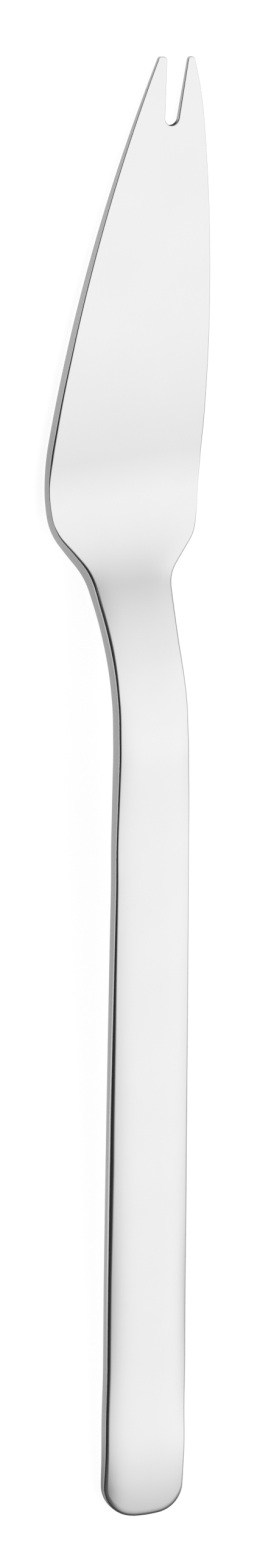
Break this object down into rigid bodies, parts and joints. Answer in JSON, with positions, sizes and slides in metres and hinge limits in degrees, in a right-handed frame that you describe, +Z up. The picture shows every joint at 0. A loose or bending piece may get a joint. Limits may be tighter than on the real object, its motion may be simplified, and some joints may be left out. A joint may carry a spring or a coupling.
{
  "type": "fish knife",
  "caption": "One-piece satin steel fish knife with a slim flat handle, a cranked neck and a broad, thin, asymmetric blade that ends in a small forked tip, for lifting and parting fish at table.",
  "frame": {"origin": "on the table under the middle of the knife's box, the blade lying flat on z = 0", "axes": "+Y from the handle's end to the forked tip, +Z up from the table, +X from the belly's side to the straighter spine"},
  "size_m": [0.0262, 0.2102, 0.0106],
  "materials": {
    "satin_steel": "fine satin, grain along the knife"
  },
  "bodies": {
    "root": {"fish_knife": "satin_steel"}
  },
  "joints": []
}
